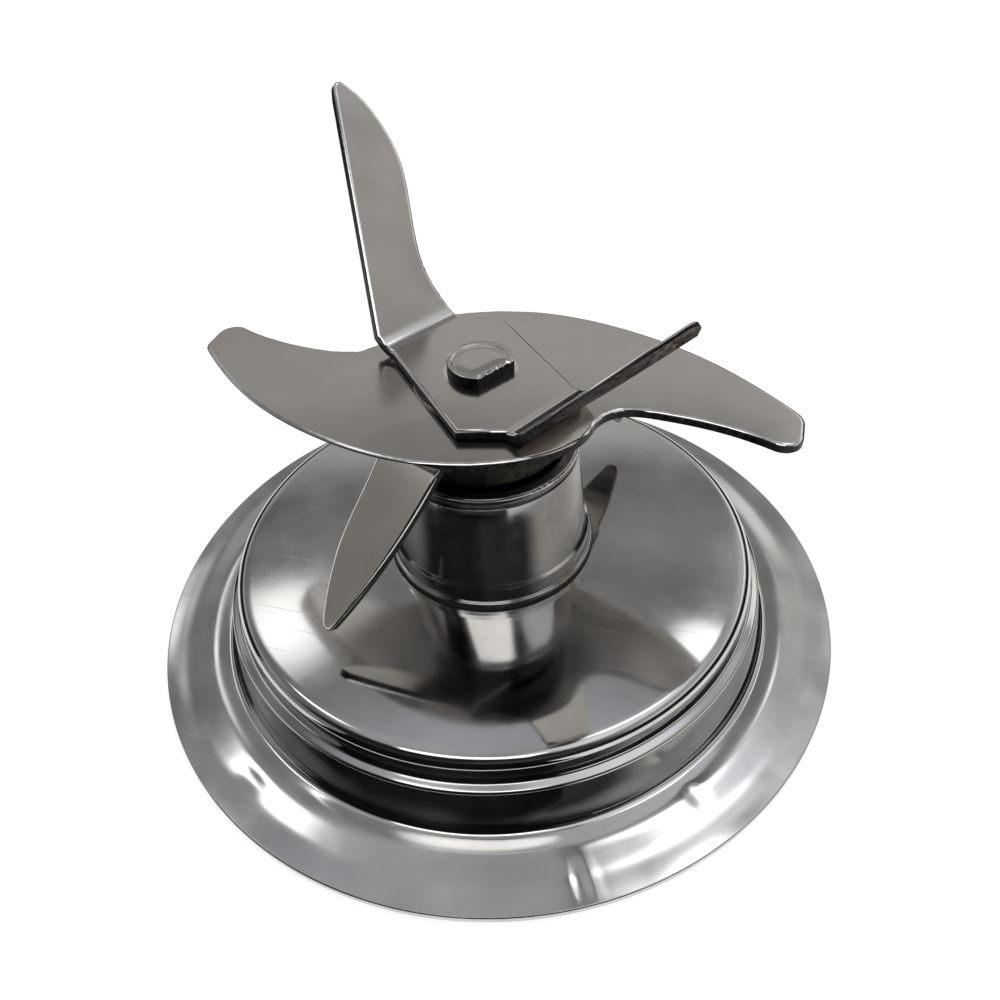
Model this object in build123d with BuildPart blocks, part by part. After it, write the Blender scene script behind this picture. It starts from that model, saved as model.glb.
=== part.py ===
import os
from math import cos, radians, sin, tan
from build123d import *

os.makedirs("parts", exist_ok=True)

# Pressed base, radii from the rim inward and heights of the top skin
base_sheet = 0.8
rim_radius = 38.0
rim_flat = 2.7
bead_inset = 5.3
bead_lift = 0.3
gutter_lift = 0.08
flange_width = 7.7
wall_draft = 0.9
step_width = 0.9
neck_draft = 0.25
step_height = 6.3
step_rise = 0.3
shoulder_height = 9.4
seat_height = 9.9
seat_margin = 0.8
seat_blend = 2.0
shoulder_round = 1.25
step_root = 0.3
step_round = 0.35
wall_root = 0.8
bead_round = 5.0
flange_blend = 8.0

# Bearing boss and what clamps it to the base
spigot_radius = 8.0
spigot_gap = 0.1
spigot_bottom = 6.2
gasket_thick = 0.3
gasket_margin = 0.1
foot_step = 0.35
foot_top = 12.6
foot_chamfer = 0.3
foot_lip = 0.45
lip_thick = 0.4
boss_bottom_radius = 10.3
boss_top_radius = 9.45
boss_top = 22.9
groove_depth = 0.5
groove_height = 0.35
washer_thick = 0.6
washer_margin = 0.75
nut_flats = 23.0
nut_thick = 2.2
cap_thick = 0.7
cap_margin = 0.1
cap_gap = 0.6
cap_round = 0.3

# Bushes and lip seal
bush_outer = 6.0
bush_length = 6.0
running_gap = 0.05
seal_outer = 7.5
seal_height = 2.1
seal_shell = 0.7
seal_gap = 0.1
seal_lip = 0.6
seal_recess = 0.3
seal_waist = 1.6
seal_heel = 1.2

# Spindle and what holds it down
journal_radius = 4.0
stack_radius = 3.18
stack_flat = 2.3
flat_angle = -32.3
stack_fit = 0.03
axial_gap = 0.3
thrust_margin = 0.6
thrust_gap = 0.2
thrust_thick = 0.6
clip_thick = 0.7
clip_margin = 1.5
clip_bite = 0.6
clip_mouth = 2.4
end_chamfer = 0.2

# Drive coupling
coupling_radius = 8.6
coupling_length = 3.55
coupling_gap = 0.25
coupling_recess = 0.4
dog_depth = 2.0
dog_count = 6
dog_width = 2.2
dog_inner = 4.6

# Blade stack
blade_sheet = 0.9
collar_radius = 8.2
collar_gap = 0.4
flat_top = 30.65
spacer_thick = 0.2
spacer_radius = 6.5
head_height = 1.05

# Flat blade, +X along one wing
flat_reach = 29.65
flat_belly = 13.2
flat_root = 11.9
flat_waist = 1.38
flat_end_lead = 0.8
flat_end_trail = 4.5
flat_end_round = 1.7
flat_lead_round = 2.4
grind_width = 2.0
grind_land = 0.3
grind_length = 31.0
grind_margin = 0.2
grind_run_out = 4.0

# Upper blade, measured along and across the bend normal
up_angle = 151.0
up_bend = 9.77
up_tilt = 47.6
up_bend_radius = 3.0
up_lead = 3.83
up_trail = 5.18
up_hub_back = 5.33
up_hub_side = 8.06
up_reach = 25.6
up_sweep = 7.0
up_belly = 9.25
up_tip_round = 0.75
up_grind_length = 17.5

# Lower blade, measured the same way
down_angle = -111.0
down_bend = 11.0
down_tilt = 55.0
down_bend_radius = 1.8
down_lead = 4.2
down_trail = 2.6
down_hub_back = 3.0
down_hub_side = 8.0
down_reach = 19.8
down_sweep = 2.3
down_belly = 4.0
down_tip_round = 0.5

# Radii and levels that follow from the sizes above
wall_foot = rim_radius - flange_width
step_outer = wall_foot - wall_draft
step_inner = step_outer - step_width
shoulder_radius = step_inner - neck_draft
foot_radius = boss_bottom_radius + foot_step
lip_radius = foot_radius + foot_lip
seat_radius = lip_radius + seat_margin
bush_inner = journal_radius + running_gap
gasket_top = seat_height + gasket_thick
nut_top = seat_height - base_sheet - washer_thick
seal_floor = boss_top - seal_height
collar_bottom = boss_top + cap_thick + collar_gap
flat_bottom = flat_top - blade_sheet
lower_bottom = flat_bottom - blade_sheet
spacer_top = flat_top + spacer_thick
upper_top = spacer_top + blade_sheet
head_top = upper_top + head_height
thrust_bottom = spigot_bottom - thrust_thick
clip_bottom = thrust_bottom - axial_gap - clip_thick
clip_root = journal_radius - clip_bite
coupling_top = clip_bottom - coupling_gap
coupling_bottom = coupling_top - coupling_length
grind_depth = blade_sheet - grind_land


def d_section(radius, flat):
    Circle(radius)
    with Locations(Location((0, 0, 0), (0, 0, flat_angle))):
        with Locations((flat + radius, 0)):
            Rectangle(2 * radius, 4 * radius, mode=Mode.SUBTRACT)


def ring(level, outer, inner):
    with BuildSketch(Plane.XY.offset(level)) as outline:
        Circle(outer)
        Circle(inner, mode=Mode.SUBTRACT)
    return outline.sketch


def bend_axes(angle):
    normal = Vector(cos(radians(angle)), sin(radians(angle)), 0)
    across = Vector(-sin(radians(angle)), cos(radians(angle)), 0)
    return normal, across


def hub_outline(level, angle, edge, lead, trail, back, side):
    normal, across = bend_axes(angle)
    with BuildSketch(Plane(origin=(0, 0, level), x_dir=normal, z_dir=(0, 0, 1))) as outline:
        with BuildLine():
            Polyline(
                (edge, lead),
                (-back, side),
                (-edge, trail),
                (-edge, -lead),
                (back, -side),
                (edge, -trail),
                close=True,
            )
        make_face()
    return outline.sketch


# Wedge that grinds an edge thin from below and lifts off past its end
def grind_wedge(edge, up, side):
    ahead = edge % 0
    run_in = Edge.make_line(edge @ 0 - ahead * 2 * grind_width, edge @ 0)
    lift_off = edge @ 1 + edge % 1 * grind_run_out - up * (grind_depth + grind_margin)
    run_out = Edge.make_tangent_arc(edge @ 1, edge % 1, lift_off)
    path = Wire([run_in, edge, run_out])
    with BuildSketch(Plane(origin=path @ 0, x_dir=up.cross(ahead) * side, z_dir=ahead * side)) as wedge:
        with BuildLine():
            Polyline(
                (-grind_margin, -grind_margin),
                (grind_width * (1 + grind_margin / grind_depth), -grind_margin),
                (-grind_margin, grind_depth * (1 + grind_margin / grind_width)),
                close=True,
            )
        make_face()
    return wedge.sketch, path


# Deep-drawn base with flange, stepped wall, rounded shoulder and low dome
with BuildPart() as pressed_base:
    with BuildSketch(Plane.XZ) as base_profile:
        with BuildLine() as skin:
            FilletPolyline(
                (spigot_radius + spigot_gap, seat_height),
                (seat_radius, seat_height),
                (shoulder_radius, shoulder_height),
                (step_inner, step_height + step_rise),
                (step_outer, step_height),
                (wall_foot, base_sheet + gutter_lift),
                (rim_radius - bead_inset, base_sheet + bead_lift),
                (rim_radius - rim_flat, base_sheet),
                (rim_radius, base_sheet),
                radius=(
                    seat_blend,
                    shoulder_round,
                    step_root,
                    step_round,
                    wall_root,
                    bead_round,
                    flange_blend,
                ),
            )
            offset(amount=base_sheet, side=Side.RIGHT)
        make_face()
    revolve(axis=Axis.Z)
pressed_base.part.label = "pressed_base"
export_step(pressed_base.part, "parts/pressed_base.step")

# Turned boss with foot, tapered polished side, top groove and threaded spigot
with BuildPart() as bearing_boss:
    with BuildSketch(Plane.XZ) as boss_profile:
        with BuildLine() as boss_line:
            Polyline(
                (bush_outer, spigot_bottom),
                (spigot_radius, spigot_bottom),
                (spigot_radius, gasket_top),
                (lip_radius, gasket_top),
                (lip_radius, gasket_top + lip_thick),
                (foot_radius, gasket_top + lip_thick),
                (foot_radius, foot_top - foot_chamfer),
                (boss_bottom_radius, foot_top),
                (boss_top_radius, boss_top - 2 * groove_height),
                (boss_top_radius - groove_depth, boss_top - 2 * groove_height),
                (boss_top_radius - groove_depth, boss_top - groove_height),
                (boss_top_radius, boss_top - groove_height),
                (boss_top_radius, boss_top),
                (seal_outer, boss_top),
                (seal_outer, seal_floor),
                (bush_outer, seal_floor),
                close=True,
            )
        make_face()
    revolve(axis=Axis.Z)
bearing_boss.part.label = "bearing_boss"
export_step(bearing_boss.part, "parts/bearing_boss.step")

# Flat gasket under the foot
with BuildPart() as foot_gasket:
    extrude(ring(seat_height, lip_radius + gasket_margin, spigot_radius), amount=gasket_thick)
foot_gasket.part.label = "foot_gasket"
export_step(foot_gasket.part, "parts/foot_gasket.step")

# Washer and thin hexagon nut under the dome
with BuildPart() as clamp_washer:
    extrude(ring(nut_top, foot_radius + washer_margin, spigot_radius), amount=washer_thick)
clamp_washer.part.label = "clamp_washer"
export_step(clamp_washer.part, "parts/clamp_washer.step")

with BuildPart() as housing_nut:
    with BuildSketch(Plane.XY.offset(nut_top - nut_thick)):
        RegularPolygon(nut_flats / 2, 6, major_radius=False)
        Circle(spigot_radius, mode=Mode.SUBTRACT)
    extrude(amount=nut_thick)
housing_nut.part.label = "housing_nut"
export_step(housing_nut.part, "parts/housing_nut.step")

# Sintered bushes pressed into the boss
with BuildPart() as upper_bush:
    extrude(ring(seal_floor - bush_length, bush_outer, bush_inner), amount=bush_length)
upper_bush.part.label = "upper_bush"
export_step(upper_bush.part, "parts/upper_bush.step")

with BuildPart() as lower_bush:
    extrude(ring(spigot_bottom, bush_outer, bush_inner), amount=bush_length)
lower_bush.part.label = "lower_bush"
export_step(lower_bush.part, "parts/lower_bush.step")

# Lip seal: shell in the boss's counterbore, with a tapered lip on the journal
seal_inner = journal_radius + seal_gap
with BuildPart() as lip_seal:
    with BuildSketch(Plane.XZ):
        with BuildLine():
            Polyline(
                (seal_inner, boss_top - seal_recess),
                (seal_inner, boss_top - seal_recess - seal_lip),
                (journal_radius + seal_waist, seal_floor + seal_shell),
                (journal_radius + seal_heel, seal_floor),
                (seal_outer, seal_floor),
                (seal_outer, boss_top),
                (seal_outer - seal_shell, boss_top),
                (seal_outer - seal_shell, seal_floor + seal_shell),
                (seal_outer - seal_shell - seal_recess, seal_floor + seal_shell),
                close=True,
            )
        make_face()
    revolve(axis=Axis.Z)
lip_seal.part.label = "lip_seal"
export_step(lip_seal.part, "parts/lip_seal.step")

# Thin ring that closes the top of the boss
with BuildPart() as seal_cap:
    extrude(ring(boss_top, boss_top_radius + cap_margin, journal_radius + cap_gap), amount=cap_thick)
    fillet(seal_cap.faces().sort_by(Axis.Z)[-1].outer_wire().edges(), cap_round)
seal_cap.part.label = "seal_cap"
export_step(seal_cap.part, "parts/seal_cap.step")

# Thrust washer below the lower bush
with BuildPart() as thrust_washer:
    extrude(ring(thrust_bottom, bush_outer + thrust_margin, journal_radius + thrust_gap), amount=thrust_thick)
thrust_washer.part.label = "thrust_washer"
export_step(thrust_washer.part, "parts/thrust_washer.step")

# Spindle with journal, clip groove and flattened ends
with BuildPart() as spindle:
    with BuildSketch(Plane.XY.offset(coupling_top)):
        Circle(journal_radius)
    extrude(amount=collar_bottom - coupling_top)
    extrude(ring(clip_bottom, journal_radius + clip_margin, clip_root), amount=clip_thick, mode=Mode.SUBTRACT)
    with BuildSketch(Plane.XY.offset(collar_bottom)):
        d_section(stack_radius, stack_flat)
    extrude(amount=head_top - collar_bottom)
    with BuildSketch(Plane.XY.offset(coupling_bottom + coupling_recess)):
        d_section(stack_radius, stack_flat)
    extrude(amount=coupling_length - coupling_recess)
    chamfer(spindle.edges().filter_by(GeomType.CIRCLE).sort_by(Axis.Z)[-1], end_chamfer)
spindle.part.label = "spindle"
export_step(spindle.part, "parts/spindle.step")

# Open ring in the clip groove
with BuildPart() as circlip:
    with BuildSketch(Plane.XY.offset(clip_bottom)):
        Circle(journal_radius + clip_margin)
        Circle(clip_root, mode=Mode.SUBTRACT)
        with Locations((journal_radius + clip_margin, 0)):
            Rectangle(2 * (journal_radius + clip_margin), clip_mouth, mode=Mode.SUBTRACT)
    extrude(amount=clip_thick)
circlip.part.label = "circlip"
export_step(circlip.part, "parts/circlip.step")

# Drive coupling: disc with radial dogs that face down
with BuildPart() as drive_coupling:
    with BuildSketch(Plane.XY.offset(coupling_bottom + dog_depth)):
        Circle(coupling_radius)
    extrude(amount=coupling_length - dog_depth)
    with BuildSketch(Plane.XY.offset(coupling_bottom)) as dogs:
        with PolarLocations(coupling_radius / 2, dog_count):
            Rectangle(coupling_radius, dog_width)
        Circle(dog_inner)
        Circle(coupling_radius, mode=Mode.INTERSECT)
    extrude(amount=dog_depth)
    with BuildSketch(Plane.XY.offset(coupling_bottom)):
        d_section(stack_radius + stack_fit, stack_flat + stack_fit)
    extrude(amount=coupling_length, mode=Mode.SUBTRACT)
drive_coupling.part.label = "drive_coupling"
export_step(drive_coupling.part, "parts/drive_coupling.step")

# Collar that lifts the blades off the boss
with BuildPart() as spacer_collar:
    with BuildSketch(Plane.XY.offset(collar_bottom)):
        Circle(collar_radius)
    extrude(amount=lower_bottom - collar_bottom)
    with BuildSketch(Plane.XY.offset(collar_bottom)):
        d_section(stack_radius + stack_fit, stack_flat + stack_fit)
    extrude(amount=lower_bottom - collar_bottom, mode=Mode.SUBTRACT)
spacer_collar.part.label = "spacer_collar"
export_step(spacer_collar.part, "parts/spacer_collar.step")

# Flat pressing with two sickle wings, ground thin from below along the convex edges
convex_edges = []
with BuildPart() as flat_blade:
    with BuildSketch(Plane.XY.offset(flat_bottom)) as flat_outline:
        with BuildLine() as flat_line:
            for turn in (1, -1):
                reach = flat_reach * turn
                belly = flat_belly * turn
                root = flat_root * turn
                convex = Spline(
                    (reach, flat_end_lead * turn),
                    (0.86 * reach, 0.34 * belly),
                    (0.69 * reach, 0.61 * belly),
                    (0.455 * reach, 0.855 * belly),
                    (0.07 * reach, belly),
                    (-0.52 * root, 0.84 * belly),
                    (-0.9 * root, 0.57 * belly),
                    (-root, 0.32 * belly),
                )
                concave = Spline(
                    convex @ 1,
                    (-1.18 * root, 0.13 * belly),
                    (-0.587 * reach, flat_waist * turn),
                    (-0.83 * reach, (0.66 * flat_waist + 0.34 * flat_end_trail) * turn),
                    (-reach, flat_end_trail * turn),
                )
                Line(concave @ 1, (-reach, -flat_end_lead * turn))
                convex_edges.append(convex)
        make_face()
        ends = flat_outline.vertices().sort_by(lambda v: abs(v.X))[-4:].sort_by(lambda v: abs(v.Y))
        fillet(ends[2:], flat_end_round)
        ends = flat_outline.vertices().sort_by(lambda v: abs(v.X))[-4:].sort_by(lambda v: abs(v.Y))
        fillet(ends[:2], flat_lead_round)
    extrude(amount=blade_sheet)
    for convex in convex_edges:
        edge = convex.trim(0, grind_length / convex.length).moved(Location((0, 0, flat_bottom)))
        wedge, path = grind_wedge(edge, Vector(0, 0, 1), 1)
        sweep(sections=wedge, path=path, mode=Mode.SUBTRACT)
    with BuildSketch(Plane.XY.offset(flat_bottom)):
        d_section(stack_radius + stack_fit, stack_flat + stack_fit)
    extrude(amount=blade_sheet, mode=Mode.SUBTRACT)
flat_blade.part.label = "flat_blade"
export_step(flat_blade.part, "parts/flat_blade.step")

# Washer between the flat and the upper blade
with BuildPart() as blade_spacer:
    with BuildSketch(Plane.XY.offset(flat_top)):
        Circle(spacer_radius)
    extrude(amount=spacer_thick)
    with BuildSketch(Plane.XY.offset(flat_top)):
        d_section(stack_radius + stack_fit, stack_flat + stack_fit)
    extrude(amount=spacer_thick, mode=Mode.SUBTRACT)
blade_spacer.part.label = "blade_spacer"
export_step(blade_spacer.part, "parts/blade_spacer.step")

# Upper pressing: hub between two bend lines, wings bent up
up_set = up_bend_radius * tan(radians(up_tilt / 2))
up_edge = up_bend - up_set
with BuildPart() as upper_blade:
    extrude(
        hub_outline(spacer_top, up_angle, up_edge, up_lead, up_trail, up_hub_back, up_hub_side),
        amount=blade_sheet,
    )
    for turn in (0, 180):
        normal, across = bend_axes(up_angle + turn)
        start = normal * up_edge + Vector(0, 0, upper_top)
        with BuildSketch(Plane(origin=start, x_dir=across, z_dir=normal)):
            with Locations(((up_lead - up_trail) / 2, -blade_sheet / 2)):
                Rectangle(up_lead + up_trail, blade_sheet)
        hinge_point = start + Vector(0, 0, up_bend_radius)
        revolve(axis=Axis(hinge_point, across * -1), revolution_arc=up_tilt)
        root = normal * up_bend + Vector(0, 0, upper_top)
        face_dir = Vector(0, 0, 1) * cos(radians(up_tilt)) - normal * sin(radians(up_tilt))
        face_plane = Plane(origin=root, x_dir=across * -1, z_dir=face_dir)
        with BuildSketch(face_plane):
            with BuildLine():
                lead = Line((-up_lead, up_set), (up_sweep - up_tip_round, up_reach - 0.6 * up_tip_round))
                back = Spline(
                    (up_sweep + up_tip_round, up_reach - 0.8 * up_tip_round),
                    (0.925 * up_belly, 0.92 * up_reach),
                    (up_belly, 0.8 * up_reach),
                    (0.98 * up_belly, 0.64 * up_reach),
                    (0.81 * up_belly, 0.47 * up_reach),
                    (0.61 * up_belly, 0.3 * up_reach),
                    (up_trail, up_set),
                )
                ThreePointArc(lead @ 1, (up_sweep, up_reach), back @ 0)
                Line(lead @ 0, back @ 1)
            make_face()
        extrude(amount=-blade_sheet)
        edge = back.trim(0, up_grind_length / back.length)
        wedge, path = grind_wedge(face_plane.offset(-blade_sheet).from_local_coords(edge), face_dir, -1)
        sweep(sections=wedge, path=path, mode=Mode.SUBTRACT)
    with BuildSketch(Plane.XY.offset(spacer_top)):
        d_section(stack_radius + stack_fit, stack_flat + stack_fit)
    extrude(amount=blade_sheet, mode=Mode.SUBTRACT)
upper_blade.part.label = "upper_blade"
export_step(upper_blade.part, "parts/upper_blade.step")

# Lower pressing: wings bent down, clear of the dome
down_set = (down_bend_radius + blade_sheet) * tan(radians(down_tilt / 2))
down_edge = down_bend - down_set
with BuildPart() as lower_blade:
    extrude(
        hub_outline(lower_bottom, down_angle, down_edge, down_lead, down_trail, down_hub_back, down_hub_side),
        amount=blade_sheet,
    )
    for turn in (0, 180):
        normal, across = bend_axes(down_angle + turn)
        start = normal * down_edge + Vector(0, 0, flat_bottom)
        with BuildSketch(Plane(origin=start, x_dir=across, z_dir=normal)):
            with Locations(((down_lead - down_trail) / 2, -blade_sheet / 2)):
                Rectangle(down_lead + down_trail, blade_sheet)
        hinge_point = start - Vector(0, 0, down_bend_radius + blade_sheet)
        revolve(axis=Axis(hinge_point, across), revolution_arc=down_tilt)
        root = normal * down_bend + Vector(0, 0, flat_bottom)
        face_dir = Vector(0, 0, 1) * cos(radians(down_tilt)) + normal * sin(radians(down_tilt))
        with BuildSketch(Plane(origin=root, x_dir=across * -1, z_dir=face_dir)):
            with BuildLine():
                lead = Spline(
                    (-down_lead, down_set),
                    (-0.5 * down_lead, 0.48 * down_reach),
                    (down_sweep - down_tip_round, down_reach - 0.8 * down_tip_round),
                )
                back = Spline(
                    (down_trail, down_set),
                    (0.74 * down_belly, 0.22 * down_reach),
                    (0.97 * down_belly, 0.5 * down_reach),
                    (down_belly, 0.72 * down_reach),
                    (down_sweep + 1.8 * down_tip_round, down_reach - 1.2 * down_tip_round),
                )
                ThreePointArc(lead @ 1, (down_sweep + 0.4 * down_tip_round, down_reach), back @ 1)
                Line(lead @ 0, back @ 0)
            make_face()
        extrude(amount=-blade_sheet)
    with BuildSketch(Plane.XY.offset(lower_bottom)):
        d_section(stack_radius + stack_fit, stack_flat + stack_fit)
    extrude(amount=blade_sheet, mode=Mode.SUBTRACT)
lower_blade.part.label = "lower_blade"
export_step(lower_blade.part, "parts/lower_blade.step")
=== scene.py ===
import math
import random
import bmesh
import bpy
from mathutils import Matrix, Vector, kdtree, noise


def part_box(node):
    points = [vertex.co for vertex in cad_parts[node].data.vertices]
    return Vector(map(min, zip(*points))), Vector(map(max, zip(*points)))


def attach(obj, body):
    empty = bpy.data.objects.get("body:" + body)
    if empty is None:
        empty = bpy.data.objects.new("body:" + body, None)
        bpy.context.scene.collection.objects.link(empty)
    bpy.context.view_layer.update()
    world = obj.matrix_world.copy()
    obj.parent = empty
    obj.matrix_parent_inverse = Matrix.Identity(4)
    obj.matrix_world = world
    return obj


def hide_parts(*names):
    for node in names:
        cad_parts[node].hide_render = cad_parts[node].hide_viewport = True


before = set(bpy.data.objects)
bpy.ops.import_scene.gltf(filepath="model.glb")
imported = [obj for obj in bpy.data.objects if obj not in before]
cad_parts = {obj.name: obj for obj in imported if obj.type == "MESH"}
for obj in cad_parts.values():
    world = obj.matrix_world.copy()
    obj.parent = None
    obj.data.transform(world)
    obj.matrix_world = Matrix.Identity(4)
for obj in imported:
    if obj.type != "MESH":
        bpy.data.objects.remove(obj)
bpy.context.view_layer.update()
mm = 0.001
print("frame loaded,", len(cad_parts), "nodes")

# camera, from a fit of the photograph's ellipses
view = {
    "place": (23.17, -63.92, 76.94),  # mm
    "look": (-0.2403, 0.6982, -0.6744),  # direction
    "roll": -3.29,  # degrees
    "lens": 30.751,  # mm
    "sensor": 36,  # mm, square
    "near": 1.0,  # mm, where the view begins
}


def placeCamera():
    look = Vector(view["look"]).normalized()
    right = look.cross(Vector((0, 0, 1))).normalized()
    up = right.cross(look)
    turn = math.radians(view["roll"])
    right, up = right * math.cos(turn) + up * math.sin(turn), up * math.cos(turn) - right * math.sin(turn)
    data = bpy.data.cameras.new("photoCamera")
    data.lens = view["lens"]
    data.sensor_width = view["sensor"]
    data.clip_start = view["near"] * mm
    camera = bpy.data.objects.new("photoCamera", data)
    bpy.context.scene.collection.objects.link(camera)
    axes = Matrix((right, up, -look)).transposed().to_4x4()
    camera.matrix_world = Matrix.Translation(Vector(view["place"]) * mm) @ axes
    bpy.context.scene.camera = camera


placeCamera()
print("camera placed")


def hexColour(text):  # sRGB hex to linear
    parts = [int(text[i:i + 2], 16) / 255 for i in (1, 3, 5)]
    return [c / 12.92 if c <= 0.04045 else ((c + 0.055) / 1.055) ** 2.4 for c in parts] + [1.0]


def perMetre(size):  # texture scale that gives features of a size in mm
    return 1 / (size * mm)


def addNode(tree, kind, settings=None, links=None):
    node = tree.nodes.new(kind)
    for key, value in (settings or {}).items():
        if isinstance(key, str) and hasattr(node, key):
            setattr(node, key, value)
        else:
            node.inputs[key].default_value = value
    for key, source in (links or {}).items():
        tree.links.new(source, node.inputs[key])
    return node


def newMaterial(name):
    material = bpy.data.materials.new(name)
    material.use_nodes = True
    tree = material.node_tree
    tree.nodes.clear()
    return material, tree


noiseSpan = {"From Min": 0.35, "From Max": 0.65}  # where most of a noise lies


def setStops(ramp, stops):  # colour ramp stops as (place, hex colour)
    stops = list(stops)
    elements = ramp.color_ramp.elements
    while len(elements) < len(stops):
        elements.new(0.5)
    for element, (place, colour) in zip(elements, stops):
        element.position = place
        element.color = hexColour(colour)


# stainless steel sheet, deep drawn and buffed: a soft mirror, duller and more rubbed on the flange
polished = {
    "bright": "#d0cfcd",
    "dull": "#bcbbb9",
    "tintStops": (0.3, 0.65),
    "smear": 8.0,  # mm
    "ringGap": 0.5,  # mm, buffing rings drawn coarser than the real ones
    "hairline": (16.0, 0.3),  # mm long and wide, drawn wider than real hairlines
    "hairTurn": 28,  # degrees
    "hairSpan": (0.66, 0.76),  # only the peaks of the noise are hairlines
    "wave": 6.0,  # mm, unevenness of the drawn sheet
    "waveHeight": 0.008,  # mm
    "ringHeight": 0.0003,  # mm
    "roughness": (0.06, 0.12),
    "flangeFrom": (30.5, 33.0),  # mm from the axis, where the rubbed flange begins
    "flangeRough": 0.06,
    "hairRough": 0.06,
}


def polishedStainless():
    material, tree = newMaterial("buffedDrawnStainless")
    place = addNode(tree, "ShaderNodeTexCoord").outputs["Object"]
    smear = addNode(
        tree, "ShaderNodeTexNoise", {"Scale": perMetre(polished["smear"]), "Detail": 5.0}, {"Vector": place}
    )
    flat = addNode(tree, "ShaderNodeVectorMath", {"operation": "MULTIPLY", 1: (1, 1, 0)}, {0: place})
    radius = addNode(tree, "ShaderNodeVectorMath", {"operation": "LENGTH"}, {0: flat.outputs[0]})
    rings = addNode(
        tree, "ShaderNodeTexNoise",
        {"noise_dimensions": "1D", "Scale": perMetre(polished["ringGap"]), "Detail": 2.0},
        {"W": radius.outputs["Value"]},
    )
    longSide, shortSide = polished["hairline"]
    stretch = addNode(
        tree, "ShaderNodeMapping",
        {
            "Rotation": (0, 0, math.radians(polished["hairTurn"])),
            "Scale": (perMetre(longSide), perMetre(shortSide), perMetre(longSide)),
        },
        {"Vector": place},
    )
    hairs = addNode(tree, "ShaderNodeTexNoise", {"Scale": 1.0, "Detail": 1.0}, {"Vector": stretch.outputs[0]})
    faint, clear = polished["hairSpan"]
    hairMask = addNode(
        tree, "ShaderNodeMapRange", {"From Min": faint, "From Max": clear, "To Max": polished["hairRough"]},
        {"Value": hairs.outputs["Fac"]},
    )
    inside, outside = polished["flangeFrom"]
    rubbed = addNode(
        tree, "ShaderNodeMapRange",
        {"From Min": inside * mm, "From Max": outside * mm, "To Max": polished["flangeRough"]},
        {"Value": radius.outputs["Value"]},
    )
    low, high = polished["roughness"]
    rough = addNode(
        tree, "ShaderNodeMapRange", {**noiseSpan, "To Min": low, "To Max": high},
        {"Value": smear.outputs["Fac"]},
    )
    worn = addNode(
        tree, "ShaderNodeMath", {"operation": "ADD"}, {0: rough.outputs[0], 1: rubbed.outputs[0]}
    )
    scuffed = addNode(
        tree, "ShaderNodeMath", {"operation": "ADD"}, {0: worn.outputs[0], 1: hairMask.outputs[0]}
    )
    tint = addNode(tree, "ShaderNodeValToRGB", {}, {"Fac": smear.outputs["Fac"]})
    setStops(tint, zip(polished["tintStops"], (polished["dull"], polished["bright"])))
    wave = addNode(
        tree, "ShaderNodeTexNoise", {"Scale": perMetre(polished["wave"]), "Detail": 2.0}, {"Vector": place}
    )
    waveBump = addNode(
        tree, "ShaderNodeBump", {"Strength": 1.0, "Distance": polished["waveHeight"] * mm},
        {"Height": wave.outputs["Fac"]},
    )
    ringBump = addNode(
        tree, "ShaderNodeBump", {"Strength": 1.0, "Distance": polished["ringHeight"] * mm},
        {"Height": rings.outputs["Fac"], "Normal": waveBump.outputs[0]},
    )
    shader = addNode(
        tree, "ShaderNodeBsdfPrincipled", {"Metallic": 1.0},
        {"Base Color": tint.outputs[0], "Roughness": scuffed.outputs[0], "Normal": ringBump.outputs[0]},
    )
    addNode(tree, "ShaderNodeOutputMaterial", {}, {"Surface": shader.outputs[0]})
    return material


# stainless strip, rolled and tumbled: an even satin sheen with a faint grain along the strip
satin = {
    "bright": "#cac6c1",
    "dull": "#bebab5",
    "tintStops": (0.3, 0.68),
    "mottle": 6.0,  # mm
    "grain": (9.0, 0.25),  # mm long and wide, drawn coarser than the rolled grain
    "grainHeight": 0.0002,  # mm
    "grainShare": 0.5,  # how much the roughness follows the grain, beside the mottle
    "roughSpan": (0.5, 1.0),  # where most of the two together lies
    "roughness": (0.14, 0.2),
}


def satinStainless(name, grainTurn):
    material, tree = newMaterial(name)
    place = addNode(tree, "ShaderNodeTexCoord").outputs["Object"]
    longSide, shortSide = satin["grain"]
    alongStrip = addNode(
        tree, "ShaderNodeVectorRotate", {"Angle": math.radians(-grainTurn)}, {"Vector": place}
    )
    stretch = addNode(
        tree, "ShaderNodeVectorMath",
        {"operation": "MULTIPLY", 1: (perMetre(longSide), perMetre(shortSide), perMetre(shortSide))},
        {0: alongStrip.outputs[0]},
    )
    grain = addNode(tree, "ShaderNodeTexNoise", {"Scale": 1.0, "Detail": 3.0}, {"Vector": stretch.outputs[0]})
    mottle = addNode(
        tree, "ShaderNodeTexNoise", {"Scale": perMetre(satin["mottle"]), "Detail": 5.0}, {"Vector": place}
    )
    both = addNode(
        tree, "ShaderNodeMath", {"operation": "MULTIPLY_ADD", 1: satin["grainShare"]},
        {0: grain.outputs["Fac"], 2: mottle.outputs["Fac"]},
    )
    least, most = satin["roughSpan"]
    low, high = satin["roughness"]
    rough = addNode(
        tree, "ShaderNodeMapRange", {"From Min": least, "From Max": most, "To Min": low, "To Max": high},
        {"Value": both.outputs[0]},
    )
    tint = addNode(tree, "ShaderNodeValToRGB", {}, {"Fac": mottle.outputs["Fac"]})
    setStops(tint, zip(satin["tintStops"], (satin["dull"], satin["bright"])))
    bump = addNode(
        tree, "ShaderNodeBump", {"Strength": 1.0, "Distance": satin["grainHeight"] * mm},
        {"Height": grain.outputs["Fac"]},
    )
    shader = addNode(
        tree, "ShaderNodeBsdfPrincipled", {"Metallic": 1.0},
        {"Base Color": tint.outputs[0], "Roughness": rough.outputs[0], "Normal": bump.outputs[0]},
    )
    addNode(tree, "ShaderNodeOutputMaterial", {}, {"Surface": shader.outputs[0]})
    return material


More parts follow.
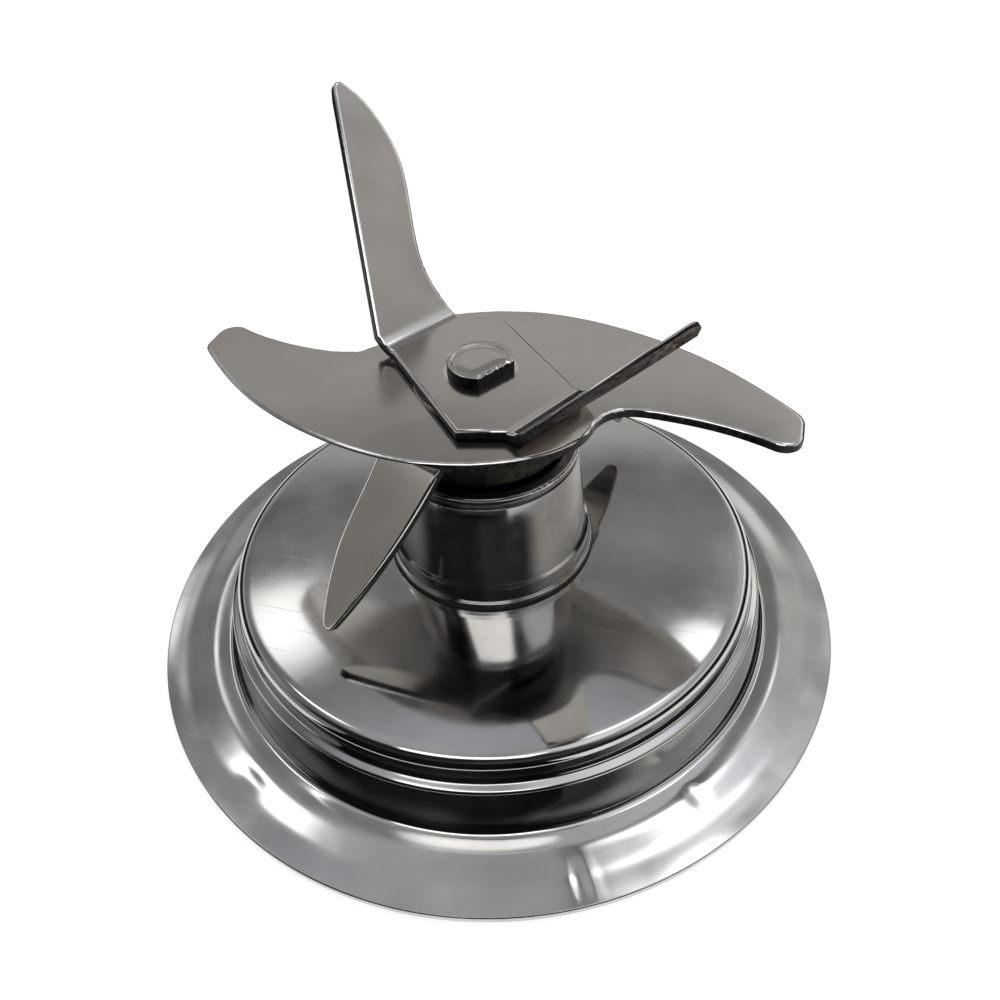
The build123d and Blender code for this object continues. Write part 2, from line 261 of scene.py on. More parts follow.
# small finishes: a mottled colour, its roughness and a fine bump, with sizes in mm
spotStops = (0.32, 0.66)
finishes = {
    # sheared stainless: torn and a little rough; its near-black colour is painted shade and painted dark
    # reflection
    "shearedPaintedShadeStainless": {
        "dull": "#1d1c1b", "bright": "#383634", "metallic": 1.0,
        "rough": (0.3, 0.5), "size": 0.5, "height": 0.003,
    },
    # stainless edges, rolled by the press tool and rubbed bright: a thin clear mirror line
    "rubbedStainless": {
        "dull": "#c9c7c4", "bright": "#dedcd9", "metallic": 1.0,
        "rough": (0.08, 0.16), "size": 0.8, "height": 0.001,
    },
    # stainless, ground on a wheel: duller than the strip, with a coarse drag; its darker colour and dark
    # grazing tint are painted shade
    "groundPaintedShadeStainless": {
        "dull": "#8d8a86", "bright": "#a8a5a0", "metallic": 1.0,
        "rough": (0.25, 0.38), "size": 0.4, "height": 0.0015, "grazingPaintedShade": "#5e5d5b",
    },
    # steel, turned and blackened: dark olive with a low sheen
    "blackenedSteel": {
        "dull": "#2b2a25", "bright": "#403e37", "metallic": 1.0,
        "rough": (0.25, 0.4), "size": 0.9, "height": 0.002,
    },
    # stainless bar, turned and polished: a clear mirror, its colour darker than the sheet's as painted shade
    "turnedPaintedShadeStainless": {
        "dull": "#a5a3a0", "bright": "#b2b0ad", "metallic": 1.0,
        "rough": (0.08, 0.14), "size": 1.6, "height": 0.001,
    },
    # bronze powder, pressed and sintered: matt and grainy
    "sinteredBronze": {
        "dull": "#7c6237", "bright": "#a98a52", "metallic": 1.0,
        "rough": (0.4, 0.6), "size": 0.3, "height": 0.006,
    },
    # nitrile rubber, moulded: black and matt
    "nitrileRubber": {
        "dull": "#131313", "bright": "#222120", "metallic": 0.0,
        "rough": (0.55, 0.75), "size": 0.6, "height": 0.004,
    },
}


def smallFinish(name):
    finish = finishes[name]
    material, tree = newMaterial(name)
    place = addNode(tree, "ShaderNodeTexCoord").outputs["Object"]
    spots = addNode(
        tree, "ShaderNodeTexNoise", {"Scale": perMetre(finish["size"]), "Detail": 4.0}, {"Vector": place}
    )
    tint = addNode(tree, "ShaderNodeValToRGB", {}, {"Fac": spots.outputs["Fac"]})
    setStops(tint, zip(spotStops, (finish["dull"], finish["bright"])))
    low, high = finish["rough"]
    rough = addNode(
        tree, "ShaderNodeMapRange", {**noiseSpan, "To Min": low, "To Max": high},
        {"Value": spots.outputs["Fac"]},
    )
    bump = addNode(
        tree, "ShaderNodeBump", {"Strength": 1.0, "Distance": finish["height"] * mm},
        {"Height": spots.outputs["Fac"]},
    )
    # a dark grazing tint, where a finish gives one, is painted shade
    shader = addNode(
        tree, "ShaderNodeBsdfPrincipled",
        {"Metallic": finish["metallic"], "Specular Tint": hexColour(finish.get("grazingPaintedShade", "#ffffff"))},
        {"Base Color": tint.outputs[0], "Roughness": rough.outputs[0], "Normal": bump.outputs[0]},
    )
    addNode(tree, "ShaderNodeOutputMaterial", {}, {"Surface": shader.outputs[0]})
    return material


looks = {name: smallFinish(name) for name in finishes}
looks["buffedDrawnStainless"] = polishedStainless()
# degrees, the grain runs along each blade
grainTurns = {"flatBladeSatin": 0, "upperBladeSatin": 151, "lowerBladeSatin": -111, "plainSatin": 40}
for bladeLook, grainTurn in grainTurns.items():
    looks[bladeLook] = satinStainless(bladeLook + "Stainless", grainTurn)
print("materials made:", len(looks))


# open line in mm, one radius for each inner corner
def roundedLine(corners, radii, stepTurn=math.radians(9)):
    points = [Vector(corners[0])]
    for before, corner, after, radius in zip(corners, corners[1:], corners[2:], radii):
        corner = Vector(corner)
        back = (Vector(before) - corner).normalized()
        ahead = (Vector(after) - corner).normalized()
        turn = math.pi - back.angle(ahead)
        side = 1 if back.x * ahead.y - back.y * ahead.x < 0 else -1
        centre = corner + (back + ahead).normalized() * radius / math.cos(turn / 2)
        start = corner + back * radius * math.tan(turn / 2) - centre
        steps = max(2, math.ceil(turn / stepTurn))
        for step in range(steps + 1):
            points.append(centre + Matrix.Rotation(side * turn * step / steps, 2) @ start)
    points.append(Vector(corners[-1]))
    return points


# the same line, shifted to its right by a gap in mm; a corner that turns less than straight counts as none
def parallelCorners(corners, gap, straight=1e-6):
    lines = []
    for start, end in zip(corners, corners[1:]):
        along = (Vector(end) - Vector(start)).normalized()
        lines.append((Vector(start) + Vector((along.y, -along.x)) * gap, along))
    shifted = [lines[0][0]]
    for (a, u), (b, v) in zip(lines, lines[1:]):
        cross = u.x * v.y - u.y * v.x
        reach = ((b.x - a.x) * v.y - (b.y - a.y) * v.x) / cross if abs(cross) > straight else (b - a).dot(u)
        shifted.append(a + u * reach)
    along = lines[-1][1]
    shifted.append(Vector(corners[-1]) + Vector((along.y, -along.x)) * gap)
    return shifted


def divided(points, longest):  # long runs cut up, so that they can be dented
    cut = []
    for start, end in zip(points, points[1:]):
        count = max(1, math.ceil((end - start).length / longest))
        cut += [start.lerp(end, k / count) for k in range(count)]
    return cut + [points[-1]]


def shadeByAngle(bm, limit):
    for face in bm.faces:
        face.smooth = True
    for edge in bm.edges:
        edge.smooth = len(edge.link_faces) == 2 and edge.calc_face_angle() < math.radians(limit)


def finishPiece(bm, name, materials, body, node):
    mesh = bpy.data.meshes.new(name)
    bm.to_mesh(mesh)
    bm.free()
    for material in materials:
        mesh.materials.append(looks[material])
    piece = bpy.data.objects.new(name, mesh)
    bpy.context.scene.collection.objects.link(piece)
    weighted = piece.modifiers.new("evenNormals", "WEIGHTED_NORMAL")
    weighted.keep_sharp = True
    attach(piece, body)
    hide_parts(node)
    print("piece", name, len(mesh.polygons), "faces")


def skinned(rings, capped):  # closed rings of points in mm, joined in order
    bm = bmesh.new()
    loops = [[bm.verts.new(Vector(point) * mm) for point in ring] for ring in rings]
    pairs = list(zip(loops, loops[1:])) if capped else list(zip(loops, loops[1:] + loops[:1]))
    for inner, outer in pairs:
        for k in range(len(inner)):
            after = (k + 1) % len(inner)
            bm.faces.new((inner[k], inner[after], outer[after], outer[k]))
    if capped:
        bm.faces.new(loops[0])
        bm.faces.new(loops[-1])
    bmesh.ops.recalc_face_normals(bm, faces=bm.faces)
    return bm


def turned(line, steps):  # closed line of radius and height in mm, turned about the spindle axis
    angles = [2 * math.pi * step / steps for step in range(steps)]
    return skinned([[(r * math.cos(a), r * math.sin(a), z) for a in angles] for r, z in line], False)


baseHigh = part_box("pressed_base")[1] / mm
# sizes in mm, corners of the sheet's upper side as radius and height
baseShape = {
    "sheet": 0.8,
    "bore": 8.1,
    "seat": 11.9,  # radius where the flat seat ends
    "shoulder": (28.25, 9.4),
    "stepIn": (28.5, 6.6),
    "stepOut": (29.4, 6.3),
    "wallFoot": (30.3, 0.88),
    "bead": (32.7, 1.1),
    "rimFlat": 2.7,
    "rounds": (2.0, 1.25, 0.3, 0.35, 0.8, 5.0, 8.0),  # one for each inner corner
    "roundSigns": (-1, -1, 1, -1, 1, -1, 1),  # how the underside's rounds follow the sheet
    "leastRound": 0.1,
    "edgeRound": 0.16,
    "edgeShare": 0.98,  # of that round, so that it begins just inside the line's ends
    "edgeStep": 22,  # degrees
    "steps": 384,
    "longest": 0.5,
    "wobble": 0.08,  # mm, sheet that isn't quite flat
    "wobbleSize": 9.0,
    "wobbleSlice": 3.0,  # which slice of the noise
    "unevenFrom": (30.6, 1.5),  # radius where wobble and dents begin, and how far they take to grow
    "crease": 40,  # degrees, a sharper edge isn't shaded smooth
    # flange dents: angle in degrees, radius, reach along the radius and across it in mm, depth
    "dents": (
        (-60.8, 35.9, 1.9, 0.26, 0.13),
        (-59.4, 35.6, 1.7, 0.35, -0.05),
        (-38.1, 33.1, 1.0, 0.7, 0.12),
        (-117.6, 34.2, 0.7, 1.9, 0.10),
    ),
}


def dentAt(x, y):
    depth = 0.0
    for angle, radius, along, across, deep in baseShape["dents"]:
        out = Vector((math.cos(math.radians(angle)), math.sin(math.radians(angle))))
        off = Vector((x, y)) - out * radius
        far = (off.dot(out) / along) ** 2 + ((off.x * out.y - off.y * out.x) / across) ** 2
        depth += deep * math.exp(-far)
    return depth


def makePressedBase():
    shape = baseShape
    top, rim, sheet, soft = baseHigh.z, baseHigh.x, shape["sheet"], shape["edgeRound"]
    corners = [
        (shape["bore"], top), (shape["seat"], top), shape["shoulder"], shape["stepIn"], shape["stepOut"],
        shape["wallFoot"], shape["bead"], (rim - shape["rimFlat"], sheet), (rim, sheet),
    ]
    underRounds = [
        max(shape["leastRound"], r + sign * sheet) for r, sign in zip(shape["rounds"], shape["roundSigns"])
    ]
    upper = roundedLine(corners, shape["rounds"])
    lower = roundedLine(parallelCorners(corners, sheet), underRounds)
    edge = roundedLine(
        [(rim - soft, sheet), (rim, sheet), (rim, 0), (rim - soft, 0)], (soft * shape["edgeShare"],) * 2,
        math.radians(shape["edgeStep"]),
    )
    outside = divided(upper[:-1] + edge, shape["longest"])
    inside = divided([edge[-1]] + lower[::-1][1:], shape["longest"])
    bm = turned(outside[:-1] + inside, shape["steps"])
    start, growth = shape["unevenFrom"]
    for vert in bm.verts:
        x, y, z = vert.co / mm
        reach = math.hypot(x, y)
        onFlange = min(1.0, max(0.0, (reach - start) / growth))
        inward = min(1.0, max(0.0, rim - reach))
        wobble = noise.noise(Vector((x, y, shape["wobbleSlice"])) / shape["wobbleSize"]) * shape["wobble"]
        moved = z + (wobble - dentAt(x, y)) * onFlange * inward
        vert.co.z = max(0.0, moved) * mm
    shadeByAngle(bm, shape["crease"])
    finishPiece(bm, "pressedBase", ["buffedDrawnStainless"], "base", "pressed_base")


makePressedBase()

# sizes in mm
bossShape = {
    "bore": 6.0,
    "spigot": (8.0, 6.2),  # radius and lower end
    "lip": (11.1, 10.2, 10.6),  # radius, low and high
    "foot": (10.65, 12.6),  # radius and top
    "footChamfer": 0.3,
    "side": (10.3, 9.45),  # radius below and above
    "groove": (22.2, 22.55, 0.5),  # low, high and depth
    "top": 22.9,
    "counterbore": (7.5, 20.8),  # radius and floor
    # one for each inner corner, from the spigot up and into the counterbore
    "rounds": (0.2, 0.05, 0.1, 0.22, 0.12, 0.12, 0.1, 0.1, 0.08, 0.08, 0.06, 0.1, 0.1, 0.1),
    "steps": 256,
    "roundStep": 15,  # degrees
    "crease": 40,
}


def makeBoss():
    shape = bossShape
    bore, top = shape["bore"], shape["top"]
    low, high = shape["side"]
    spigot, spigotLow = shape["spigot"]
    lip, lipLow, lipHigh = shape["lip"]
    foot, footTop = shape["foot"]
    grooveLow, grooveHigh, grooveDeep = shape["groove"]
    sealRadius, sealFloor = shape["counterbore"]
    corners = [
        (bore, spigotLow), (spigot, spigotLow), (spigot, lipLow), (lip, lipLow), (lip, lipHigh),
        (foot, lipHigh), (foot, footTop - shape["footChamfer"]), (low, footTop), (high, grooveLow),
        (high - grooveDeep, grooveLow), (high - grooveDeep, grooveHigh), (high, grooveHigh), (high, top),
        (sealRadius, top), (sealRadius, sealFloor), (bore, sealFloor),
    ]
    line = roundedLine(corners, shape["rounds"], math.radians(shape["roundStep"]))
    bm = turned(line, shape["steps"])
    shadeByAngle(bm, shape["crease"])
    # the boss takes the darker turned look, which is painted shade
    finishPiece(bm, "bearingBoss", ["turnedPaintedShadeStainless"], "base", "bearing_boss")


makeBoss()

# sizes in mm, angles in degrees
spindleShape = {
    "stack": (3.18, 2.3),  # radius and flat of the ends
    "flatAngle": -32.3,
    "low": (1.2, 4.35),  # from and to, the end that carries the coupling
    "lowChamfer": 0.15,
    "journal": (4.0, 24.0),  # radius and top
    "clipGroove": (3.4, 4.6, 5.3),  # radius, low and high
    "head": 32.8,
    "headRound": 0.14,
    # rings of the head: how far down and in, and the share of the punch marks
    # the rim's are shares of its round, the face's are in mm
    "headRim": ((2.0, 0.0, 0.0), (1.0, 0.0, 0.0), (0.3, 0.3, 0.6), (0.0, 1.0, 1.0)),
    "headFace": ((0.0, 0.42, 0.5), (0.07, 0.52, 0.0), (0.07, 0.66, 0.0), (0.02, 0.85, 0.0), (0.03, 1.6, 0.0)),
    "flatSteps": 30,
    "roundSteps": 90,
    "stakes": 6,  # punch marks along the head's flat
    "stakeDepth": 0.28,
    "stakeShare": (0.5, 1.0),  # least and most of that depth
    "stakeShift": 0.8,  # steps that a mark may be off its place
    "seed": 7,
    "crease": 32,
    "sideFacing": 0.5,  # a face that looks up or down less than this is a side
}


def makeSpindle():
    shape = spindleShape
    radius, flat = shape["stack"]
    flatSteps, roundSteps = shape["flatSteps"], shape["roundSteps"]
    corner = math.acos(flat / radius)
    angles = [-corner + 2 * corner * k / flatSteps for k in range(flatSteps)]
    angles += [corner + (2 * math.pi - 2 * corner) * k / roundSteps for k in range(roundSteps)]
    start = math.radians(shape["flatAngle"])
    dice = random.Random(shape["seed"])
    stakes = [0.0] * flatSteps
    gap = flatSteps / shape["stakes"]
    for n in range(shape["stakes"]):
        middle = int(gap * (n + 0.5) + dice.uniform(-shape["stakeShift"], shape["stakeShift"]))
        for k in (-1, 0, 1):
            stakes[middle + k] = dice.uniform(*shape["stakeShare"]) * (1 - abs(k) / 2) * shape["stakeDepth"]

    def ring(z, size, share=0.0):  # D-shaped, or round where it is larger than the stack
        points = []
        for k, angle in enumerate(angles):
            out = size
            if size <= radius and math.cos(angle) > 0:
                out = min(size, (flat - radius + size) / math.cos(angle))
            drop = share * stakes[k] if k < flatSteps else 0.0
            points.append((out * math.cos(angle + start), out * math.sin(angle + start), z - drop))
        return points

    lowEnd, lowTop = shape["low"]
    lowSoft = shape["lowChamfer"]
    journal, journalTop = shape["journal"]
    clip, clipLow, clipHigh = shape["clipGroove"]
    top, soft = shape["head"], shape["headRound"]
    rings = [
        ring(lowEnd, radius - lowSoft), ring(lowEnd + lowSoft, radius), ring(lowTop, radius),
        ring(lowTop, journal), ring(clipLow, journal), ring(clipLow, clip), ring(clipHigh, clip),
        ring(clipHigh, journal), ring(journalTop, journal), ring(journalTop, radius),
    ]
    for down, inset, share in shape["headRim"]:
        rings.append(ring(top - down * soft, radius - inset * soft, share))
    for down, inset, share in shape["headFace"]:
        rings.append(ring(top - down, radius - inset, share))
    bm = skinned(rings, True)
    shadeByAngle(bm, shape["crease"])
    # the head's sides take the near-black sheared look, which is painted shade
    for face in bm.faces:
        centre = face.calc_center_median() / mm
        if abs(face.normal.z) < shape["sideFacing"] and centre.z > journalTop:
            face.material_index = 1
    finishPiece(bm, "spindleShaft", ["plainSatin", "shearedPaintedShadeStainless"], "rotor", "spindle")


makeSpindle()

# how each blade's sheet lies: direction of the wings, bend line, half its width and tilt, in mm and degrees
bladeShapes = {
    "flat_blade": {
        "piece": "flatBlade", "look": "flatBladeSatin",
        "angle": 0.0, "bend": 99.0, "half": 1.0, "tilt": 0.0,  # no bend
    },
    "upper_blade": {
        "piece": "upperBlade", "look": "upperBladeSatin",
        "angle": 151.0, "bend": 9.77, "half": 1.3, "tilt": 47.6,
    },
    "lower_blade": {
        "piece": "lowerBlade", "look": "lowerBladeSatin",
        "angle": -111.0, "bend": 11.0, "half": 1.0, "tilt": -55.0,
    },
}
bladeEdges = {
    # strips of the rolled top edge: width and drop in mm
    "rolls": ((0.05, 0.22), (0.14, 0.15), (0.16, 0.05)),
    "hole": 4.5,  # radius around the axis where the edges stay square
    "fullSide": 0.6,  # mm, a thinner side than this is rolled less
    # how far a face looks along the sheet's normal: the top, the sheared sides and the ground bevels
    "topFacing": 0.9,
    "sideFacing": 0.2,
    "groundFacing": (-0.985, -0.9),
    "crease": 30,
}
cleaning = {
    "weldGap": 2e-6,  # m
    "flatAngle": 0.4,  # degrees, faces that meet flatter than this become one
}


def sheetNormal(point, shape):
    out = Vector((math.cos(math.radians(shape["angle"])), math.sin(math.radians(shape["angle"])), 0))
    along = point.dot(out) / mm
    bent = min(1.0, max(0.0, (abs(along) - shape["bend"] + shape["half"]) / (2 * shape["half"])))
    tilt = math.radians(shape["tilt"]) * bent
    return Vector((0, 0, 1)) * math.cos(tilt) - out * math.copysign(1, along) * math.sin(tilt)


def cleaned(node):
    bm = bmesh.new()
    bm.from_mesh(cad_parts[node].data)
    bmesh.ops.remove_doubles(bm, verts=bm.verts, dist=cleaning["weldGap"])
    limit = math.radians(cleaning["flatAngle"])
    bmesh.ops.dissolve_limit(bm, angle_limit=limit, verts=bm.verts, edges=bm.edges)
    return bm


def facingOf(face, shape):
    return face.normal.dot(sheetNormal(face.calc_center_median(), shape))


def rolledEdges(bm, shape):  # the top's border pressed down in strips, which come back
    top = {face for face in bm.faces if facingOf(face, shape) > bladeEdges["topFacing"]}
    # border points and how deep the side under each is
    sides = []
    for vert in {vert for face in top for vert in face.verts}:
        normal = sheetNormal(vert.co, shape)
        below = [v for face in vert.link_faces if face not in top for v in face.verts]
        if below:
            sides.append((vert.co.copy(), max((vert.co - v.co).dot(normal) for v in below)))
    nearest = kdtree.KDTree(len(sides))
    for number, (place, _) in enumerate(sides):
        nearest.insert(place, number)
    nearest.balance()
    strips, drops = [], {}
    for wide, drop in bladeEdges["rolls"]:
        inset = bmesh.ops.inset_region(bm, faces=list(top), thickness=wide * mm, use_even_offset=True)
        strip = inset["faces"]
        inner = {vert for face in top for vert in face.verts}
        drops.update({vert: drop for face in strip for vert in face.verts if vert not in inner})
        strips += strip
    for vert, drop in drops.items():
        if math.hypot(vert.co.x, vert.co.y) > bladeEdges["hole"] * mm:
            side = sides[nearest.find(vert.co)[1]][1] / mm
            vert.co -= sheetNormal(vert.co, shape) * drop * min(1.0, side / bladeEdges["fullSide"]) * mm
    return strips


def makeBlade(node, shape):
    bm = cleaned(node)
    strips = rolledEdges(bm, shape)
    mostAway, leastAway = bladeEdges["groundFacing"]
    # sides take the near-black sheared look and ground bevels the darker ground look, both painted shade
    for face in bm.faces:
        facing = facingOf(face, shape)
        if abs(facing) < bladeEdges["sideFacing"]:
            face.material_index = 1
        elif mostAway < facing < leastAway:
            face.material_index = 2
    for face in strips:
        face.material_index = 3
    shadeByAngle(bm, bladeEdges["crease"])
    bladeLooks = [shape["look"], "shearedPaintedShadeStainless", "groundPaintedShadeStainless", "rubbedStainless"]
    finishPiece(bm, shape["piece"], bladeLooks, "rotor", node)


for node, shape in bladeShapes.items():
    makeBlade(node, shape)

# piece, look, body, slot and edge rounding in mm
smallPieces = {
    # the seal cap's darker turned look is painted shade
    "seal_cap": ("sealCap", "turnedPaintedShadeStainless", "base", "polished_stainless", 0.06),
    "foot_gasket": ("footGasket", "nitrileRubber", "base", "seal_rubber", 0.08),
    "clamp_washer": ("clampWasher", "plainSatin", "base", "satin_stainless", 0.1),
    "housing_nut": ("housingNut", "plainSatin", "base", "satin_stainless", 0.25),
    "upper_bush": ("upperBush", "sinteredBronze", "base", "sintered_bronze", 0.15),
    "lower_bush": ("lowerBush", "sinteredBronze", "base", "sintered_bronze", 0.15),
    "lip_seal": ("lipSeal", "nitrileRubber", "base", "seal_rubber", 0.05),
    "thrust_washer": ("thrustWasher", "plainSatin", "base", "satin_stainless", 0.08),
    "circlip": ("openCirclip", "blackenedSteel", "rotor", "dark_steel", 0.08),
    "drive_coupling": ("driveCoupling", "blackenedSteel", "rotor", "dark_steel", 0.2),
    "spacer_collar": ("spacerCollar", "blackenedSteel", "rotor", "dark_steel", 0.25),
    "blade_spacer": ("bladeSpacer", "plainSatin", "rotor", "satin_stainless", 0.06),
}
smallEdges = {"sharp": 25, "segments": 3, "crease": 40}  # angles in degrees


def roundedEdges(bm, offset):
    limit = math.radians(smallEdges["sharp"])
    sharp = [edge for edge in bm.edges if len(edge.link_faces) == 2 and edge.calc_face_angle() > limit]
    bmesh.ops.bevel(
        bm, geom=sharp, offset=offset * mm, offset_type="OFFSET", segments=smallEdges["segments"],
        profile=0.5, affect="EDGES", clamp_overlap=True,
    )


for node, (name, look, body, slot, edgeRound) in smallPieces.items():
    bm = cleaned(node)
    roundedEdges(bm, edgeRound)
    shadeByAngle(bm, smallEdges["crease"])
    finishPiece(bm, name, [look], body, node)

# floor, flags, world and softboxes
studio = {
    "floor": 3.0,  # m across
    "floorDrop": 0.02,  # mm under the base
    "floorColour": "#c8c8c8",
    "glow": 0.72,  # how bright the camera and mirrors see the floor, beside its lit colour
    "flagSteps": 72,
    "flagTip": 0.5,  # degrees, so that a sloped end keeps some height
    # flags: radius and height in m, first and last angle and slope of the ends in degrees, card
    "flags": (
        (0.2, 0.085, 235, 555, 0, "#2e2e2e"), (0.2, 0.085, 195, 235, 0, "#b4b3b1"),
        (0.0415, 0.014, 236, 308, 16, "#1e1e1e"),
    ),
    # light of the sky by height, then how it changes from left to right and behind the camera
    "sky": (
        (0.0, "#ffffff"), (0.3, "#ffffff"), (0.36, "#a2a1a0"), (0.45, "#b4b3b1"), (0.5, "#d2d1cf"),
        (0.575, "#d4d3d1"), (0.61, "#8a8988"), (0.7, "#a2a19f"), (0.75, "#8f8f8f"), (0.79, "#8f9091"),
        (0.83, "#a3a6aa"), (0.87, "#c2c5cc"), (0.91, "#c4c6ca"), (0.96, "#c0c1c2"), (1.0, "#b8b8b8"),
    ),
    "horizon": (0.3, 0.4),  # heights between which the plain white band gives way to the changes
    "across": (
        (0.0, "#a4a4a4"), (0.12, "#a8a8a8"), (0.25, "#b4b4b4"), (0.47, "#b4b4b4"), (0.52, "#f6f6f6"),
        (0.75, "#ffffff"), (0.89, "#dcdcdc"),
    ),
    "acrossSpan": (-0.7, 0.9),
    "acrossGain": 1.9,
    "behind": (-0.5, -0.15),  # where the sky is fully dimmed and where not at all, along y
    "behindLeft": (0.3, 0.46, 0.6, 0.06),  # low and high, and what is left of the light at each
    # softbox over the object: where it hangs, radiance, width and depth in m
    "overhead": {"place": (0.0, -0.18, 0.4), "radiance": 2.4, "wide": 0.26, "deep": 0.11},
    # far softboxes with soft edges: direction, radiance, core and edge in degrees
    "farBoxes": (
        ((-0.47, 0.475, 0.745), 1.7, 0.5, 5.0),
        ((0.065, 0.605, 0.793), 2.2, 0.3, 3.2),
        ((-0.479, 0.186, 0.858), 3.4, 1.5, 6.0),
        ((0.1, 0.39, 0.915), 3.0, 2.0, 7.0),
    ),
}


def makeFloor():
    half = studio["floor"] / 2
    mesh = bpy.data.meshes.new("studioFloor")
    corners = [(-half, -half, 0), (half, -half, 0), (half, half, 0), (-half, half, 0)]
    mesh.from_pydata(corners, [], [(0, 1, 2, 3)])
    material, tree = newMaterial("paleFloor")
    path = addNode(tree, "ShaderNodeLightPath").outputs
    seen = addNode(
        tree, "ShaderNodeMath", {"operation": "ADD"}, {0: path["Is Camera Ray"], 1: path["Is Glossy Ray"]}
    )
    seen = addNode(
        tree, "ShaderNodeMath", {"operation": "ADD", "use_clamp": True},
        {0: seen.outputs[0], 1: path["Is Transmission Ray"]},
    )
    strength = addNode(
        tree, "ShaderNodeMath", {"operation": "MULTIPLY", 1: studio["glow"]}, {0: seen.outputs[0]}
    )
    glow = addNode(tree, "ShaderNodeEmission", {}, {"Strength": strength.outputs[0]})
    matt = addNode(tree, "ShaderNodeBsdfDiffuse", {"Color": hexColour(studio["floorColour"])})
    both = addNode(tree, "ShaderNodeAddShader", {}, {0: glow.outputs[0], 1: matt.outputs[0]})
    # see-through from below, so that the underside can be looked at
    fromBelow = addNode(tree, "ShaderNodeNewGeometry").outputs["Backfacing"]
    clear = addNode(tree, "ShaderNodeBsdfTransparent")
    shown = addNode(tree, "ShaderNodeMixShader", {}, {0: fromBelow, 1: both.outputs[0], 2: clear.outputs[0]})
    addNode(tree, "ShaderNodeOutputMaterial", {}, {"Surface": shown.outputs[0]})
    mesh.materials.append(material)
    floor = bpy.data.objects.new("studioFloor", mesh)
    floor.location.z = -studio["floorDrop"] * mm
    bpy.context.scene.collection.objects.link(floor)


def makeFlags():  # cards that only mirrors see
    steps, tip = studio["flagSteps"], studio["flagTip"]
    for number, (radius, height, first, last, slope, card) in enumerate(studio["flags"]):
        material, tree = newMaterial(f"flagCard{number}")
        matt = addNode(tree, "ShaderNodeBsdfDiffuse", {"Color": hexColour(card)})
        addNode(tree, "ShaderNodeOutputMaterial", {}, {"Surface": matt.outputs[0]})
        bm = bmesh.new()
        feet, tops = [], []
        for k in range(steps + 1):
            angle = first + (last - first) * k / steps
            share = min(1.0, (min(angle - first, last - angle) + tip) / (slope + tip))
            x, y = radius * math.cos(math.radians(angle)), radius * math.sin(math.radians(angle))
            feet.append(bm.verts.new((x, y, 0)))
            tops.append(bm.verts.new((x, y, height * share)))
        for k in range(steps):
            bm.faces.new((feet[k], feet[k + 1], tops[k + 1], tops[k]))
        mesh = bpy.data.meshes.new("studioFlag")
        bm.to_mesh(mesh)
        bm.free()
        mesh.materials.append(material)
        flag = bpy.data.objects.new(f"studioFlag{number}", mesh)
        flag.visible_camera = False
        flag.visible_diffuse = False
        flag.visible_shadow = False
        bpy.context.scene.collection.objects.link(flag)


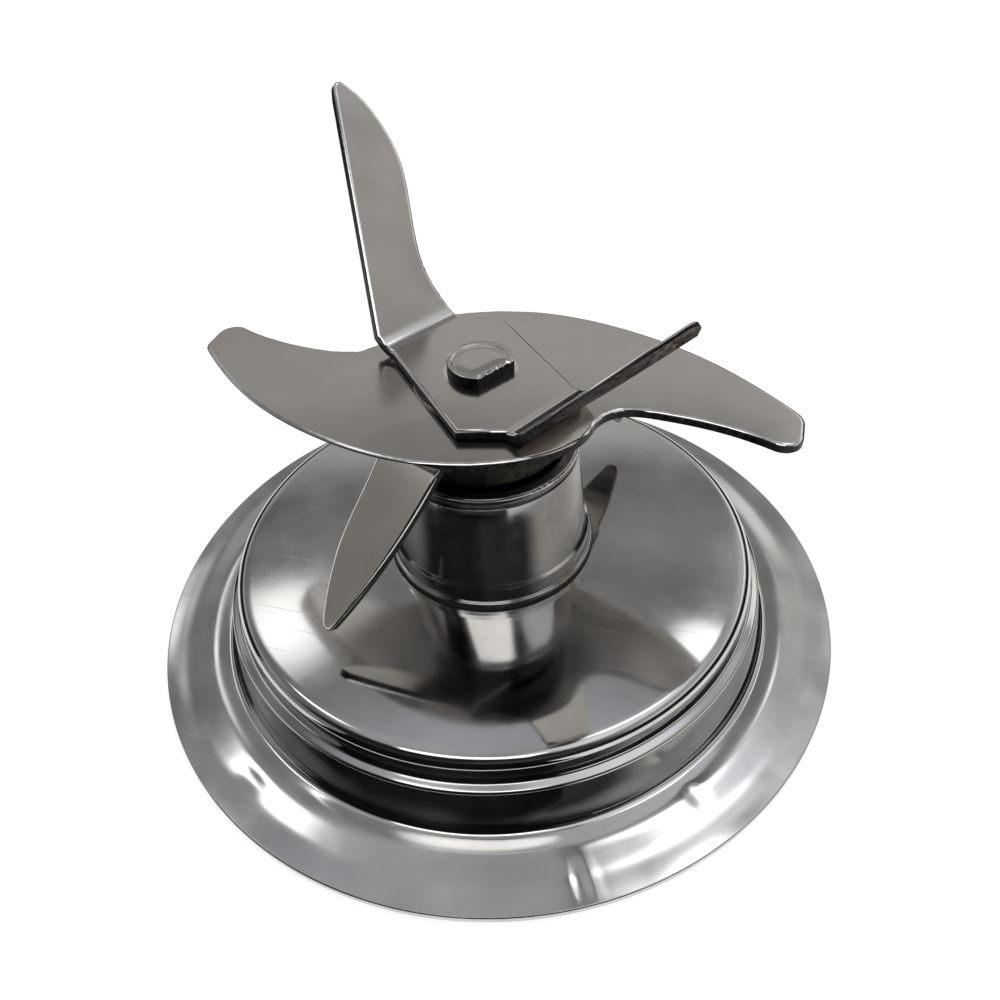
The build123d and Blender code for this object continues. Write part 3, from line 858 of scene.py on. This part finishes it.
def makeWorld():
    world = bpy.data.worlds.new("softStudio")
    bpy.context.scene.world = world
    world.use_nodes = True
    tree = world.node_tree
    tree.nodes.clear()
    ray = addNode(tree, "ShaderNodeTexCoord").outputs["Generated"]
    axes = addNode(tree, "ShaderNodeSeparateXYZ", {}, {0: ray})
    sky = addNode(tree, "ShaderNodeValToRGB", {}, {"Fac": axes.outputs["Z"]})
    setStops(sky, studio["sky"])
    left, right = studio["acrossSpan"]
    span = addNode(
        tree, "ShaderNodeMapRange", {"From Min": left, "From Max": right}, {"Value": axes.outputs["X"]}
    )
    across = addNode(tree, "ShaderNodeValToRGB", {}, {"Fac": span.outputs[0]})
    setStops(across, studio["across"])
    soft = {"interpolation_type": "SMOOTHSTEP"}
    low, high, leftLow, leftHigh = studio["behindLeft"]
    least = addNode(
        tree, "ShaderNodeMapRange",
        {**soft, "From Min": low, "From Max": high, "To Min": leftLow, "To Max": leftHigh},
        {"Value": axes.outputs["Z"]},
    )
    back, front = studio["behind"]
    behind = addNode(
        tree, "ShaderNodeMapRange", {**soft, "From Min": back, "From Max": front},
        {"Value": axes.outputs["Y"], "To Min": least.outputs[0]},
    )
    gain = addNode(
        tree, "ShaderNodeMath", {"operation": "MULTIPLY", 1: studio["acrossGain"]}, {0: across.outputs[0]}
    )
    both = addNode(
        tree, "ShaderNodeMath", {"operation": "MULTIPLY"}, {0: gain.outputs[0], 1: behind.outputs[0]}
    )
    bandFull, bandEnd = studio["horizon"]
    band = addNode(
        tree, "ShaderNodeMapRange",
        {**soft, "From Min": bandFull, "From Max": bandEnd, "To Min": 1.0, "To Max": 0.0},
        {"Value": axes.outputs["Z"]},
    )
    level = addNode(
        tree, "ShaderNodeMix", {"data_type": "FLOAT", 3: 1.0}, {0: band.outputs[0], 2: both.outputs[0]}
    )
    shade = addNode(tree, "ShaderNodeBackground", {}, {"Color": sky.outputs[0], "Strength": level.outputs[0]})
    for towards, radiance, core, edge in studio["farBoxes"]:
        facing = addNode(
            tree, "ShaderNodeVectorMath", {"operation": "DOT_PRODUCT", 1: Vector(towards).normalized()},
            {0: ray},
        )
        outer, inner = math.cos(math.radians(edge)), math.cos(math.radians(core))
        glow = addNode(
            tree, "ShaderNodeMapRange", {**soft, "From Min": outer, "From Max": inner, "To Max": radiance},
            {"Value": facing.outputs["Value"]},
        )
        box = addNode(tree, "ShaderNodeBackground", {"Color": (1, 1, 1, 1)}, {"Strength": glow.outputs[0]})
        shade = addNode(tree, "ShaderNodeAddShader", {}, {0: shade.outputs[0], 1: box.outputs[0]})
    addNode(tree, "ShaderNodeOutputWorld", {}, {"Surface": shade.outputs[0]})


def makeSoftbox(name):
    box = studio[name]
    lamp = bpy.data.lights.new(name, "AREA")
    lamp.shape = "RECTANGLE"
    lamp.size = box["wide"]
    lamp.size_y = box["deep"]
    lamp.energy = box["radiance"] * math.pi * box["wide"] * box["deep"]
    lampObject = bpy.data.objects.new(name, lamp)
    lampObject.location = box["place"]
    lampObject.rotation_euler = Vector(box["place"]).to_track_quat("Z", "Y").to_euler()
    bpy.context.scene.collection.objects.link(lampObject)


makeFloor()
makeFlags()
makeWorld()
makeSoftbox("overhead")
bpy.context.scene.view_settings.view_transform = "Standard"
print("studio set")
